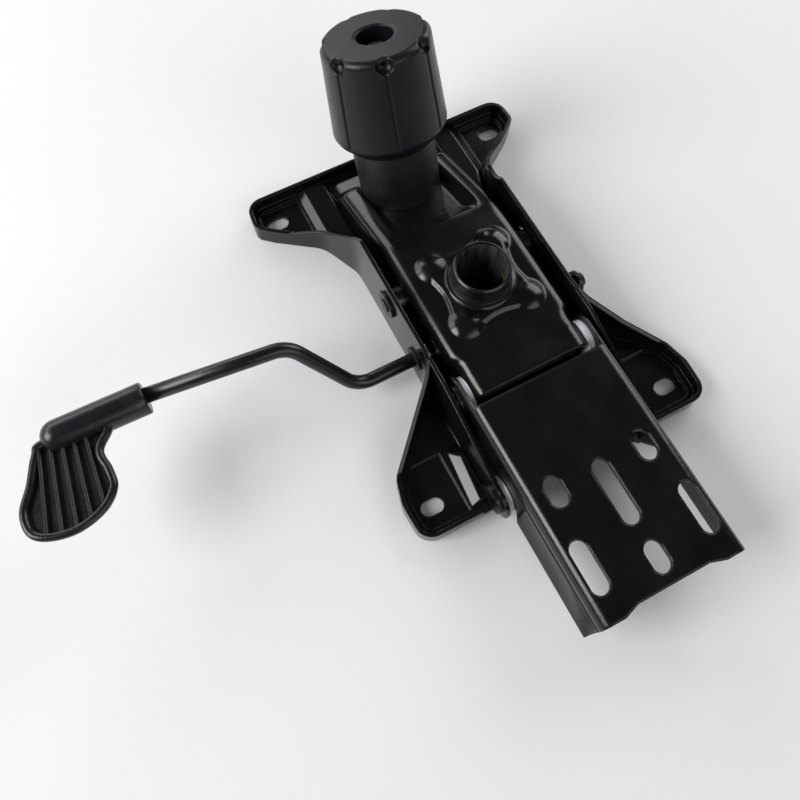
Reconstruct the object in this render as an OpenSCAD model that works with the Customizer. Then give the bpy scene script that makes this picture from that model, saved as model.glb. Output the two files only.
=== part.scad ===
// Office chair tilt mechanism, drawn as it lies on its seat plate with the lift socket facing up.
// X runs across the chair, Y towards the chair's front, Z away from the seat. Millimetres.

/* [Seat plate] */
// Distance across the seat between the bolt slots
seat_hole_x = 150; // [140:1:170]
// Distance front to back between the bolt slots
seat_hole_y = 200; // [190:1:215]
// Front bolt slots ahead of the lift socket's axis
front_hole_y = 111; // [106:1:118]
// Width of a seat bolt slot
seat_slot_w = 8.6; // [7:0.1:9.5]
// End to end length of a seat bolt slot
seat_slot_len = 13; // [11:0.5:16]
// Thickness of the seat plate's sheet
seat_sheet = 2.2; // [1.6:0.1:2.6]
// Edge of an ear outside its slot's centre
ear_margin = 15; // [13:0.5:18]
// Height of the rim round the ears
rim_h = 12; // [9:0.5:15]
// Height of the side flanges at the waist
flange_h = 41.5; // [38:0.5:44]
// Rise of the pan above the ear pads
pan_rise = 2.5; // [2:0.1:3]

/* [Housing] */
// Outside width of the housing
housing_w = 73.6; // [70:0.2:76]
// Outside width of the housing's narrowed rear end
housing_rear_w = 68; // [64:0.5:69]
// Height of the housing's top face
housing_top = 42.5; // [41:0.5:46]
// Thickness of the housing's sheet
housing_sheet = 2.5; // [2:0.1:3]
// Radius of the housing's long edges
housing_edge_r = 5.5; // [4:0.5:7]
// Rear edge of the housing behind the socket's axis
housing_rear = 57; // [55:0.5:58]
// Bend in front of the socket where the front starts to slope
bend_y = 39; // [36:0.5:42]
// Slope of the housing's front, which is also the knob's lean
front_slope = 19; // [16:0.5:21]
// Front end of the side shoulders
shoulder_front = 106; // [102:0.5:110]
// Front end of the pocket's floor
floor_front = 116; // [115:0.5:118]
// Half width of the pocket for the tension spring
pocket_half = 28; // [26:0.5:29]
// Depth of the pocket below the sloping top
pocket_depth = 6; // [5:0.25:7]

/* [Lift socket] */
// Bore of the gas lift socket
lift_bore_d = 26.6; // [25:0.1:27.2]
// Outside diameter of the socket
socket_d = 31; // [30:0.25:33]
// Height of the socket's mouth
socket_top = 58.7; // [55:0.1:62]
// Lower end of the socket inside the housing
socket_bottom = 28; // [27.5:0.25:30]
// Height of the pressed lobes round the socket
lobe_h = 4.2; // [3:0.1:4.5]

/* [Back bracket] */
// Outside width of the bracket
bracket_w = 80.4; // [80:0.2:84]
// Height of the bracket's top face
bracket_top = 46; // [44:0.5:48]
// Thickness of the bracket's sheet
bracket_sheet = 2.5; // [2:0.1:2.8]
// Radius of the bracket's long edges
bracket_edge_r = 6; // [4:0.5:8]
// Front edge of the bracket's top face behind the socket's axis
bracket_front = 62; // [60.5:0.5:65]
// Rear end of the bracket behind the socket's axis
bracket_rear = 181; // [177:1:190]
// Width of the back bolt slots
back_slot_w = 9.5; // [8:0.1:10]
// Length of the short back bolt slots
back_slot_short = 16; // [13:0.5:18]
// Length of the long back bolt slots
back_slot_long = 27; // [22:0.5:30]
// Length of the middle back bolt slot
back_slot_mid = 35; // [30:0.5:38]

/* [Pivots] */
// Main pivot behind the socket's axis
main_pivot_y = 50; // [49:0.25:51]
// Height of the main pivot
main_pivot_z = 30; // [29:0.25:31]
// Rear pivot behind the socket's axis
rear_pivot_y = 102; // [100:0.5:104]
// Height of the rear pivot
rear_pivot_z = 16; // [15.5:0.25:17]
// Front slide pin ahead of the socket's axis
slide_pin_y = 18.5; // [17.5:0.25:19.5]
// Height of the front slide pin
slide_pin_z = 26; // [25:0.25:27]
// Diameter of the pivot pins
pin_d = 10; // [8:0.5:11]
// Diameter of the front slide pin
slide_pin_d = 8; // [7:0.25:9]
// Length of the slots that the front slide pin runs in
slide_slot_len = 14.5; // [14:0.5:17]
// Diameter of the plain plastic washers
washer_d = 21; // [18:0.5:22]
// Thickness of the washers at the rear pivot
rear_washer_t = 3.5; // [3:0.1:4]

/* [Tension knob] */
// Foot of the knob's axis on the pocket floor, ahead of the socket's axis
knob_foot_y = 91; // [89:0.5:92]
// Height of the knob's top above the pocket floor
knob_top = 91.7; // [88:0.5:96]
// Height of the knob's lower edge above the pocket floor
knob_bottom = 35; // [32:0.5:37]
// Diameter of the knob near its lower edge
knob_low_d = 64.8; // [62:0.2:68]
// Diameter of the knob near its top
knob_high_d = 58.4; // [57:0.2:61]
// Number of grip grooves round the knob
knob_grooves = 7; // [6:1:10]
// Diameter of the hole in the knob's top
knob_hole_d = 20; // [17:0.5:22]
// Outside diameter of the spring sleeve
sleeve_d = 48; // [46:0.25:49]
// Diameter of the tension bolt
bolt_d = 10; // [8:0.5:11]
// Turns of the tension spring
spring_turns = 6; // [5:0.5:7]
// Wire diameter of the tension spring
spring_wire = 5.5; // [4:0.25:6]

/* [Lever] */
// Diameter of the lever rod
rod_d = 8; // [7:0.25:8.5]
// Rod behind the socket's axis
rod_y = 14; // [13:0.25:15]
// Height of the rod
rod_z = 17; // [16.5:0.25:17.5]
// Free end of the rod on the far side
rod_far_x = 63; // [60:0.5:68]
// First bend of the rod on the lever's side
rod_bend_x = 81; // [78:0.5:86]
// Outer end of the lever's sleeve
lever_end_x = 223.4; // [215:0.2:235]
// Outside diameter of the lever's sleeve
lever_sleeve_d = 16.4; // [14:0.2:18]
// Thickness of the paddle
paddle_t = 3; // [2.5:0.1:4]
// Number of ribs on the paddle
paddle_ribs = 5; // [3:1:6]

/* [Clearances] */
// Radial clearance of running pins
run_gap = 0.05; // [0.03:0.01:0.1]
// Radial clearance of pressed and welded pieces
fixed_gap = 0.02; // [0.01:0.01:0.05]
// Clearance of the front slide pin in its slot
slot_gap = 0.35; // [0.3:0.05:0.6]

/* [Hidden] */
$fn = 48;

steel_black = "#17181b";
plastic_black = "#202225";
nylon_white = "#e9e9e6";
zinc_grey = "#9a9ca0";
far = 400;

// Seat plate places
hole_half = seat_hole_x / 2;
rear_hole_y = front_hole_y - seat_hole_y;
ear_x = hole_half + ear_margin;
front_edge = front_hole_y + ear_margin + 0.5;
rear_edge = rear_hole_y - ear_margin - 1.5;
pan_top = pan_rise + seat_sheet;
bracket_half = bracket_w / 2;
lug_in = bracket_half + rear_washer_t;
waist_x = lug_in + seat_sheet;
pad_in = hole_half - 17;
pad_reach = 24;
pad_border = 3.2;
lug_r = 12;
head_relief_x = 8;
head_relief_r = pin_d / 2 + 5.5;
slot_rear_play = 1.2;
slide_slot_y = slide_pin_y + (slide_slot_len - slide_pin_d) / 2 - slot_rear_play;
ear_r = 10;
notch_front = -rear_pivot_y + 38;

// Pivot places as points in Y and Z
main_pivot = [-main_pivot_y, main_pivot_z];
rear_pivot = [-rear_pivot_y, rear_pivot_z];
slide_pin = [slide_pin_y, slide_pin_z];
rod_axis = [-rod_y, rod_z];

// Housing places
housing_half = housing_w / 2;
housing_rear_half = housing_rear_w / 2;
neck_start = -31;
neck_end = -37;
edge_flats = 8;
slope_len = (floor_front - bend_y) / cos(front_slope);
shoulder_len = (shoulder_front - bend_y) / cos(front_slope);
knob_foot_z = housing_top - (knob_foot_y - bend_y) * tan(front_slope) - pocket_depth / cos(front_slope);
wall_rear_z = 18;
wall_low_z = pan_top + 2.8;
wall_front_z = pan_top + 0.9;
lobe_place = 18.5;
lobe_r = 9.5;
lobe_skirt = 4;
plateau_edge = 5.5;
plateau_waist = 4;
bolt_r = bolt_d / 2;

// Heights along the knob's axis, from the pocket floor
sleeve_top = knob_bottom + 9;
sleeve_wall = 2;
base_washer_t = 2;
nut_t = 9;
thrust_t = 2.5;
nut_bottom = knob_top - 26;
thrust_bottom = nut_bottom - thrust_t;
spring_bottom = base_washer_t;
spring_mean_r = sleeve_d / 2 - sleeve_wall - spring_wire / 2 - 3;
anchor_top = -housing_sheet - 3.2;
anchor_t = 2.5;
head_t = 4.2;
bolt_end = knob_top - 6;

// Lever path, from the far end to the grip
lever_dir = [-71, 6.5, 3];
arm_start = [-108, 8, 52];
rod_into_grip = 1.25;
rod_tip = arm_start + lever_dir * rod_into_grip;
grip_start = [-179.9, 13.6, 54.8];
lever_end = [-lever_end_x, 13.9, 56];
hole_start = 0.9;
rod_bend_r = 16;
bar_step = 0.06;
bar_overlap = 6;
tab_half = 8;
tab_wall = 2.5;
tab_t = 3;
tab_past_axis = 6;
end_clip_in = 5;
end_clip_t = 2;
end_clip_d = rod_d + 5;
bush_wall = 2;
bush_flange_t = 1.2;
side_gap = 0.3;
clip_t = 1.4;
rivet_head_t = 2.5;
inner_head_d = pin_d + 6;
outer_head_d = pin_d + 7;
slide_head_d = slide_pin_d + 5;
slide_spacer_d = slide_pin_d + 6;
slide_clip_d = slide_pin_d + 8;
pivot_clip_d = pin_d + 7;
pin_past_clip = 1;

// Bolt anchor and spring pocket
slope_foot_y = knob_foot_y - (knob_foot_z - pan_top) * tan(front_slope);
anchor_half = 22;
anchor_rear = slope_foot_y - 15;
anchor_front = slope_foot_y + 13;
anchor_hole_r = bolt_r + 3.6;
head_hole_r = 16;
head_gap = 0.9;
head_flange_r = anchor_hole_r + 1.5;
head_r = bolt_r * 1.7;
flange_t = 2;
bolt_hole_r = bolt_r + 0.6;
pocket_start = 6;
ramp_angle = 40;
plateau_h = 2.6;
plateau_curve = 30;
straight_bore = 14;
mouth_depth = 3.5;
mouth_flare = 0.7;
mouth_edge = 1;
bore_taper = 0.4;
bead_w = 4;
bead_h = 5.5;

// Notch in the housing's walls that the rod and its collar pass through
notch_half = 9;
notch_top = rod_z + 13;
collar_nose_d = 12.4;
collar_nose_len = 4;
collar_flange_d = 22;
collar_flange_t = 1.2;

// Knob details
nut_r = bolt_r * 1.9;
groove_r = 1.2;
dimple_r = 4;
dimple_in = 2.4;
dimple_low = 3.8;
groove_turn = -3;
groove_out = 0.3;
lip_w = 1.2;
skirt_h = 8;
crown_h = 3.2;
cavity_gap = 0.6;
web_t = 2;

// Back bracket details
arm_r = 13;
boss_r = 10;
wall_low = 28;
lip_gap = 7;
lip_out = 3.5;
lip_drop = 6;
rear_set_in = 2.6;
set_in_half = 28;
set_in_slant = 8;
short_slot_x = 25.4;
short_slot_y = -117.2;
long_slot_x = 30.7;
long_slot_y = -154.4;
mid_slot_y = -130;
rear_slot_y = -164.8;

// Paddle details
paddle_w = 51;
paddle_reach = 50;
rib_h = 2.6;
rib_w = 1.5;
rib_pitch = 7;
rib_lean = 8.5;
rib_shift = -9.5;
rim_w = 3.6;
paddle_drop = 1;

// Rounded outlines: each corner is a point with its radius
function unit(v) = v / norm(v);
function flat(p) = [p.x, p.y];
function corner(a, b, c, r, steps = 6) =
    let (u = unit(a - b), v = unit(c - b), half = acos(u * v) / 2,
        mid = b + unit(u + v) * r / sin(half),
        from = b + u * r / tan(half) - mid, to = b + v * r / tan(half) - mid,
        start = atan2(from.y, from.x), raw = atan2(to.y, to.x) - start,
        turn = raw > 180 ? raw - 360 : raw < -180 ? raw + 360 : raw)
    [for (i = [0 : steps]) mid + r * [cos(start + turn * i / steps), sin(start + turn * i / steps)]];
function rounded(pts) = let (n = len(pts))
    [for (i = [0 : n - 1])
        each corner(flat(pts[(i + n - 1) % n]), flat(pts[i]), flat(pts[(i + 1) % n]), pts[i].z)];
function inset(pts, d) = let (n = len(pts))
    [for (i = [0 : n - 1])
        let (e = unit(flat(pts[i]) - flat(pts[(i + n - 1) % n])),
            f = unit(flat(pts[(i + 1) % n]) - flat(pts[i])),
            ne = [-e.y, e.x], nf = [-f.y, f.x],
            p = flat(pts[i]) + (ne + nf) / (1 + ne * nf) * d,
            bend = e.x * f.y - e.y * f.x)
        [p.x, p.y, max(0.5, bend > 0 ? pts[i].z - d : pts[i].z + d)]];
function mirrored(pts) = [for (i = [len(pts) - 1 : -1 : 0]) [-pts[i].x, pts[i].y, pts[i].z]];

// Height of a plane square to the knob's axis, at a place along Y
function slope_z(y, s) = knob_foot_z + (s - (y - knob_foot_y) * sin(front_slope)) / cos(front_slope);

right_side = [
    [ear_x - 1, rear_edge, ear_r],
    [ear_x, rear_hole_y + 6, 14],
    [ear_x - 4, rear_hole_y + 21, 10],
    [hole_half - 10, rear_hole_y + 42, 30],
    [waist_x, rear_hole_y + 61, 18],
    [waist_x, front_hole_y - 53, 24],
    [hole_half - 18, front_hole_y - 28, 20],
    [hole_half + 7, front_hole_y - 10, 8],
    [ear_x, front_hole_y - 3, 6],
    [ear_x - 1, front_edge, ear_r]];
plate_outline = concat(right_side, mirrored(right_side));

// Extrusions along one axis, and shapes that repeat
module along_x(from, to) {
    translate([from, 0, 0])
        rotate([90, 0, 90])
            linear_extrude(to - from) children();
}

module along_y(from, to) {
    translate([0, to, 0])
        rotate([90, 0, 0])
            linear_extrude(to - from) children();
}

module both_sides() {
    children();
    mirror([1, 0, 0]) children();
}

module slot_2d(length, width) {
    reach = (length - width) / 2;
    square([2 * reach, width], center = true);
    for (side = [-1, 1])
        translate([side * reach, 0]) circle(d = width);
}

module cross_hole(place, d) {
    along_x(-far, far)
        translate(place) circle(d = d);
}

module washer_x(place, from, to, outer, bore) {
    along_x(from, to)
        translate(place)
            difference() {
                circle(d = outer);
                circle(d = bore);
            }
}

module on_knob_axis() {
    translate([0, knob_foot_y, knob_foot_z])
        rotate([-front_slope, 0, 0]) children();
}

module on_front_slope() {
    translate([0, bend_y, housing_top])
        rotate([-front_slope, 0, 0]) children();
}

module channel_2d(half, top, low, r) {
    translate([-half, low]) square([2 * half, top - r - low]);
    translate([r - half, low]) square([2 * (half - r), top - low]);
    for (side = [-1, 1])
        translate([side * (half - r), top - r]) circle(r = r);
}

// The same channel with its round edges in short flats, for shapes that bend
module folded_2d(half, top, low, r) {
    left = [-half, top];
    right = [half, top];
    polygon(concat([[-half, low], [half, low]], corner([half, low], right, left, r, edge_flats),
        corner(right, left, [-half, low], r, edge_flats)));
}

module rod_between(p, q, r) {
    d = q - p;
    translate(p)
        rotate([0, acos(d.z / norm(d)), atan2(d.y, d.x)])
            cylinder(h = norm(d), r = r);
}

// Points of one round bend at point b, between points a and c
function bend_points(a, b, c, bend_r, steps = 7) =
    let (u = unit(a - b), v = unit(c - b), half = acos(u * v) / 2,
        mid = b + unit(u + v) * bend_r / sin(half),
        s = b + u * bend_r / tan(half) - mid, e = b + v * bend_r / tan(half) - mid,
        w = unit(cross(s, e)), t = cross(w, s))
    [for (i = [0 : steps])
        let (turn = (180 - 2 * half) * i / steps) mid + s * cos(turn) + t * sin(turn)];

// Round bar swept along a list of points, its end faces square to the ends
module swept_bar(path, r, sides = 16) {
    n = len(path);
    tangents = [for (i = [0 : n - 1]) unit(path[min(i + 1, n - 1)] - path[max(i - 1, 0)])];
    points = [for (i = [0 : n - 1])
        let (x = unit(cross([0, 1, 0], tangents[i])), y = cross(tangents[i], x))
        for (j = [0 : sides - 1]) path[i] + r * (x * cos(360 * j / sides) + y * sin(360 * j / sides))];
    walls = [for (i = [0 : n - 2], j = [0 : sides - 1])
        let (k = (j + 1) % sides, a = i * sides + j, b = i * sides + k)
        each [[a, a + sides, b], [b, a + sides, b + sides]]];
    last = (n - 1) * sides;
    caps = [for (j = [1 : sides - 2]) each [[0, j, j + 1], [last, last + j + 1, last + j]]];
    polyhedron(points, concat(walls, caps));
}

// Seat plate: ears, pan and side flanges pressed from one sheet
module ear_pads_2d(g) {
    intersection() {
        polygon(rounded(inset(plate_outline, seat_sheet + pad_border - g)));
        both_sides() {
            translate([pad_in - g, front_hole_y - pad_reach - g]) square([far, far]);
            translate([pad_in - g, rear_hole_y + pad_reach + g - far]) square([far, far]);
        }
    }
}

module plate_floor() {
    linear_extrude(seat_sheet) ear_pads_2d(0);
    linear_extrude(pan_top)
        difference() {
            ear_pads_2d(seat_sheet);
            ear_pads_2d(0);
        }
    translate([0, 0, pan_rise])
        linear_extrude(seat_sheet)
            difference() {
                polygon(rounded(plate_outline));
                ear_pads_2d(0);
            }
}

module plate_rim() {
    intersection() {
        linear_extrude(flange_h)
            difference() {
                polygon(rounded(plate_outline));
                polygon(rounded(inset(plate_outline, seat_sheet)));
            }
        along_x(-far, far)
            polygon([[rear_edge - 1, 0], [front_edge + 1, 0], [front_edge + 1, rim_h],
                [front_hole_y - 16, rim_h], [front_hole_y - 34, rim_h * 1.8],
                [front_hole_y - 58, flange_h], [rear_hole_y + 62, flange_h],
                [rear_hole_y + 40, rim_h * 1.9], [rear_hole_y + 22, rim_h], [rear_edge - 1, rim_h]]);
    }
}

module pivot_lugs() {
    both_sides()
        along_x(lug_in, waist_x) {
            polygon([[rear_hole_y + 62, pan_rise], [rear_hole_y + 62, flange_h],
                [rear_hole_y + 48, flange_h], [rear_pivot.x, rear_pivot.y + lug_r],
                [rear_pivot.x, pan_rise]]);
            translate(rear_pivot) circle(r = lug_r);
        }
}

module seat_plate() {
    color(steel_black)
        difference() {
            union() {
                plate_floor();
                plate_rim();
                pivot_lugs();
            }
            for (x = [-hole_half, hole_half], y = [rear_hole_y, front_hole_y])
                translate([x, y, -1])
                    linear_extrude(pan_top + 2) slot_2d(seat_slot_len, seat_slot_w);
            translate([-lug_in, notch_front - far, -1]) cube([2 * lug_in, far, far]);
            translate([0, 0, -1])
                linear_extrude(pan_top + 2)
                    translate([0, slope_foot_y]) circle(r = head_hole_r);
            along_x(-waist_x - 1, waist_x + 1)
                translate(rear_pivot) circle(d = pin_d + 2 * fixed_gap);
            both_sides()
                along_x(waist_x, waist_x + head_relief_x)
                    translate(rear_pivot) circle(r = head_relief_r);
            cross_hole(rod_axis, rod_d + 2 * bush_wall + 2 * fixed_gap);
            along_x(-far, far)
                translate([slide_slot_y, slide_pin.y])
                    slot_2d(slide_slot_len, slide_pin_d + 2 * slot_gap);
        }
}

// Plain bushes that carry the lever rod in the side flanges
module rod_bushes() {
    color(plastic_black)
        both_sides() {
            washer_x(rod_axis, lug_in, waist_x, rod_d + 2 * bush_wall, rod_d + 2 * run_gap);
            washer_x(rod_axis, waist_x, waist_x + bush_flange_t, rod_d + 3 * bush_wall, rod_d + 2 * run_gap);
        }
}

// Saddle on the pan that the tension bolt pulls against
module bolt_anchor() {
    low = anchor_top - anchor_t;
    color(steel_black)
        difference() {
            union() {
                along_x(-anchor_half, anchor_half)
                    polygon([[anchor_rear, slope_z(anchor_rear, low)],
                        [anchor_front, slope_z(anchor_front, low)],
                        [anchor_front, slope_z(anchor_front, anchor_top)],
                        [anchor_rear, slope_z(anchor_rear, anchor_top)]]);
                both_sides()
                    along_x(anchor_half - anchor_t, anchor_half)
                        polygon([[anchor_rear, pan_top], [anchor_front, pan_top],
                            [anchor_front, slope_z(anchor_front, anchor_top)],
                            [anchor_rear, slope_z(anchor_rear, anchor_top)]]);
            }
            on_knob_axis()
                translate([0, 0, low - 1]) cylinder(h = anchor_t + 2, r = anchor_hole_r);
        }
}

// Rear pivot: one rivet on each side through the lug and the bracket
module rear_pivot_rivets() {
    inner = bracket_half - bracket_sheet - side_gap;
    color(zinc_grey)
        both_sides() {
            along_x(inner, waist_x)
                translate(rear_pivot) circle(d = pin_d);
            along_x(inner - rivet_head_t, inner)
                translate(rear_pivot) circle(d = inner_head_d);
            along_x(waist_x, waist_x + rivet_head_t)
                translate(rear_pivot) circle(d = outer_head_d);
        }
}

module rear_pivot_washers() {
    color(nylon_white)
        both_sides()
            washer_x(rear_pivot, bracket_half + side_gap, lug_in, washer_d, pin_d + 2 * fixed_gap);
}

// Housing: one pressed channel, level over the socket and sloping to the front
module level_part(g, end) {
    r = housing_edge_r - g;
    top = housing_top - g;
    along_y(neck_start, far) folded_2d(housing_half - g, top, -far, r);
    along_y(-housing_rear - end, neck_end) folded_2d(housing_rear_half - g, top, -far, r);
    intersection() {
        along_y(neck_end, neck_start) folded_2d(housing_half - g, top, -far, r);
        translate([0, 0, -far])
            linear_extrude(2 * far)
                polygon([[g - housing_rear_half, neck_end], [housing_rear_half - g, neck_end],
                    [housing_half - g, neck_start], [g - housing_half, neck_start]]);
    }
}

module housing_block(g, end) {
    intersection() {
        level_part(g, end);
        on_front_slope()
            along_y(-far, slope_len + end) folded_2d(housing_half - g, -g, -far, housing_edge_r - g);
    }
}

module spring_pocket(g) {
    start = pocket_start - g / sin(ramp_angle);
    deep = pocket_depth + g;
    on_front_slope() {
        along_x(-pocket_half - g, pocket_half + g)
            polygon([[start, 0], [start + deep / tan(ramp_angle), -deep], [far, -deep], [far, far],
                [start - far / tan(ramp_angle), far]]);
        along_x(-far, far)
            polygon([[shoulder_len - g, -deep], [far, -deep], [far, far], [shoulder_len - g, far]]);
    }
}

module socket_lobes() {
    dome_r = (lobe_r * lobe_r + lobe_h * lobe_h) / (2 * lobe_h);
    base = housing_top - housing_sheet / 2;
    for (x = [-lobe_place, lobe_place], y = [-lobe_place, lobe_place])
        intersection() {
            translate([x, y, housing_top + lobe_h - dome_r]) sphere(r = dome_r);
            translate([x, y, base]) cylinder(h = far, r = lobe_r + lobe_skirt);
        }
    translate([0, 0, base])
        linear_extrude(housing_sheet / 2 + plateau_h)
            difference() {
                square(2 * (lobe_place + plateau_edge), center = true);
                for (turn = [0 : 90 : 270])
                    rotate(turn)
                        translate([lobe_place + plateau_waist + plateau_curve, 0]) circle(r = plateau_curve);
            }
}

module housing() {
    color(steel_black)
        difference() {
            intersection() {
                union() {
                    difference() {
                        housing_block(0, 0);
                        spring_pocket(0);
                        difference() {
                            housing_block(housing_sheet, 10);
                            spring_pocket(housing_sheet);
                        }
                    }
                    socket_lobes();
                }
                along_x(-far, far)
                    polygon([[-housing_rear, wall_rear_z], [slide_pin.x, wall_low_z],
                        [floor_front + 5, wall_front_z], [floor_front + 5, far], [-housing_rear, far]]);
            }
            translate([0, 0, -far]) cylinder(h = 2 * far, d = socket_d + 2 * fixed_gap);
            cross_hole(main_pivot, pin_d + 2 * run_gap);
            cross_hole(slide_pin, slide_pin_d + 2 * fixed_gap);
            along_x(-far, far) {
                translate([rod_axis.x, notch_top - notch_half]) circle(r = notch_half);
                translate([rod_axis.x - notch_half, 0]) square([2 * notch_half, notch_top - notch_half]);
            }
            on_knob_axis()
                translate([0, 0, -far / 2]) cylinder(h = far, r = bolt_hole_r);
        }
}

module lift_socket() {
    r = socket_d / 2;
    bore = lift_bore_d / 2;
    bead = housing_top + plateau_h + fixed_gap;
    color(steel_black)
        rotate_extrude()
            polygon([[bore - bore_taper, socket_bottom], [r, socket_bottom], [r, bead], [r + bead_w, bead],
                [r + bead_w, bead + 0.25 * bead_h], [r + 0.7 * bead_w, bead + 0.45 * bead_h],
                [r + 0.3 * bead_w, bead + 0.55 * bead_h], [r, bead + bead_h], [r, socket_top - mouth_edge],
                [r - mouth_edge, socket_top], [bore + mouth_flare, socket_top],
                [bore + 0.85 * mouth_flare, socket_top - mouth_edge], [bore, socket_top - mouth_depth],
                [bore, socket_top - mouth_depth - straight_bore]]);
}

// Tension spring and the pieces on its axis
module spring_sleeve() {
    r = sleeve_d / 2;
    color(plastic_black)
        on_knob_axis()
            rotate_extrude()
                polygon([[r - sleeve_wall, 0], [r, 0], [r, sleeve_top - 1], [r - 1, sleeve_top],
                    [r - sleeve_wall, sleeve_top]]);
}

module spring_base_washer() {
    color(zinc_grey)
        on_knob_axis()
            difference() {
                cylinder(h = base_washer_t, r = sleeve_d / 2 - sleeve_wall - side_gap);
                translate([0, 0, -1]) cylinder(h = base_washer_t + 2, r = bolt_hole_r);
            }
}

spring_sides = 6;
spring_rings = 24;
spring_low = spring_bottom + spring_wire / 2 + 0.2;
spring_high = thrust_bottom - spring_wire / 2 - 0.2;
spring_steps = spring_turns * spring_rings;
function spring_point(i, j) =
    let (turn = 360 * i / spring_rings, side = 360 * j / spring_sides,
        r = spring_mean_r + spring_wire / 2 * cos(side))
    [r * cos(turn), r * sin(turn),
        spring_low + (spring_high - spring_low) * i / spring_steps + spring_wire / 2 * sin(side)];

module tension_spring() {
    points = [for (i = [0 : spring_steps], j = [0 : spring_sides - 1]) spring_point(i, j)];
    sides = [for (i = [0 : spring_steps - 1], j = [0 : spring_sides - 1])
        let (a = i * spring_sides + j, b = i * spring_sides + (j + 1) % spring_sides,
            c = a + spring_sides, d = b + spring_sides)
        each [[a, c, b], [b, c, d]]];
    last = spring_steps * spring_sides;
    caps = [for (j = [1 : spring_sides - 2])
        each [[0, j, j + 1], [last, last + j + 1, last + j]]];
    color(zinc_grey)
        on_knob_axis()
            polyhedron(points, concat(sides, caps));
}

module tension_bolt() {
    head_top = anchor_top - anchor_t - head_gap;
    color(zinc_grey)
        on_knob_axis() {
            translate([0, 0, head_top]) cylinder(h = bolt_end - head_top, r = bolt_r);
            translate([0, 0, head_top - flange_t]) cylinder(h = flange_t, r = head_flange_r);
            translate([0, 0, head_top - flange_t - head_t]) cylinder(h = head_t, r = head_r, $fn = 6);
        }
}

module thrust_washer() {
    color(zinc_grey)
        on_knob_axis()
            translate([0, 0, thrust_bottom])
                difference() {
                    cylinder(h = thrust_t, r = sleeve_d / 2 - sleeve_wall);
                    translate([0, 0, -1]) cylinder(h = thrust_t + 2, r = bolt_r + run_gap);
                }
}

module knob_nut() {
    color(zinc_grey)
        on_knob_axis()
            translate([0, 0, nut_bottom])
                difference() {
                    cylinder(h = nut_t, r = nut_r, $fn = 6);
                    translate([0, 0, -1]) cylinder(h = nut_t + 2, r = bolt_r + run_gap);
                }
}

module tension_knob() {
    low_r = knob_low_d / 2;
    high_r = knob_high_d / 2;
    cavity_r = sleeve_d / 2 + cavity_gap;
    hole_r = knob_hole_d / 2;
    web_top = nut_bottom + nut_t + web_t;
    color(plastic_black)
        on_knob_axis()
            difference() {
                rotate_extrude()
                    polygon([[cavity_r, knob_bottom], [cavity_r + lip_w, knob_bottom],
                        [low_r - 1, knob_bottom + 0.75 * skirt_h], [low_r, knob_bottom + skirt_h],
                        [high_r, knob_top - crown_h], [high_r - 0.28 * crown_h, knob_top - 0.28 * crown_h],
                        [high_r - crown_h, knob_top], [hole_r, knob_top], [hole_r, web_top],
                        [bolt_hole_r, web_top],
                        [bolt_hole_r, nut_bottom], [cavity_r, nut_bottom]]);
                translate([0, 0, nut_bottom - 1]) cylinder(h = nut_t + 1, r = nut_r + fixed_gap, $fn = 6);
                for (i = [0 : knob_grooves - 1])
                    rotate(i * 360 / knob_grooves + groove_turn) {
                        rod_between([low_r + groove_out, 0, knob_bottom + 2],
                            [high_r + groove_out, 0, knob_top], groove_r);
                        translate([high_r - dimple_in, 0, knob_top - dimple_low])
                            rotate([0, 45, 0]) cylinder(h = 3 * dimple_r, r = dimple_r);
                    }
            }
}

// Front slide pins, riveted in the housing and running in the flanges' slots
module front_slide_pins() {
    inner = housing_half - housing_sheet;
    color(zinc_grey)
        both_sides() {
            along_x(inner, waist_x + side_gap + clip_t + pin_past_clip)
                translate(slide_pin) circle(d = slide_pin_d);
            along_x(inner - rivet_head_t, inner)
                translate(slide_pin) circle(d = slide_head_d);
            washer_x(slide_pin, housing_half, lug_in - side_gap, slide_spacer_d, slide_pin_d);
        }
}

module slide_pin_clips() {
    color(zinc_grey)
        both_sides()
            washer_x(slide_pin, waist_x + side_gap, waist_x + side_gap + clip_t, slide_clip_d,
                slide_pin_d + 2 * fixed_gap);
}

// Back bracket: slotted channel with two arms that straddle the housing
module bracket_side_2d() {
    translate(main_pivot) circle(r = arm_r);
    translate(rear_pivot) circle(r = boss_r);
    polygon([[-bracket_rear, wall_low], [rear_pivot.x - boss_r - lip_gap, wall_low],
        [rear_pivot.x - boss_r, rear_pivot.y], [rear_pivot.x, rear_pivot.y - boss_r],
        [main_pivot.x, main_pivot.y - arm_r], [main_pivot.x, main_pivot.y + arm_r],
        [-bracket_front, bracket_top], [-bracket_rear, bracket_top]]);
}

// Lip that leans outwards below each wall
module bracket_lips() {
    inside = bracket_half - bracket_sheet;
    both_sides()
        along_y(-bracket_rear, rear_pivot.x - boss_r - lip_gap)
            polygon([[inside, wall_low + 1], [inside, wall_low], [inside + lip_out, wall_low - lip_drop],
                [bracket_half + lip_out, wall_low - lip_drop], [bracket_half, wall_low],
                [bracket_half, wall_low + 1]]);
}

module rear_edge_2d() {
    low = -bracket_rear + rear_set_in;
    flat_half = set_in_half - set_in_slant;
    polygon([[-set_in_half, -far], [set_in_half, -far], [set_in_half, -bracket_rear], [flat_half, low],
        [-flat_half, low], [-set_in_half, -bracket_rear]]);
}

module bracket_slots() {
    for (side = [-1, 1]) {
        translate([side * short_slot_x, short_slot_y]) rotate(90) slot_2d(back_slot_short, back_slot_w);
        translate([side * long_slot_x, long_slot_y]) rotate(90) slot_2d(back_slot_long, back_slot_w);
    }
    translate([0, mid_slot_y]) rotate(90) slot_2d(back_slot_mid, back_slot_w);
    translate([0, rear_slot_y]) rotate(90) slot_2d(back_slot_short, back_slot_w);
}

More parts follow.
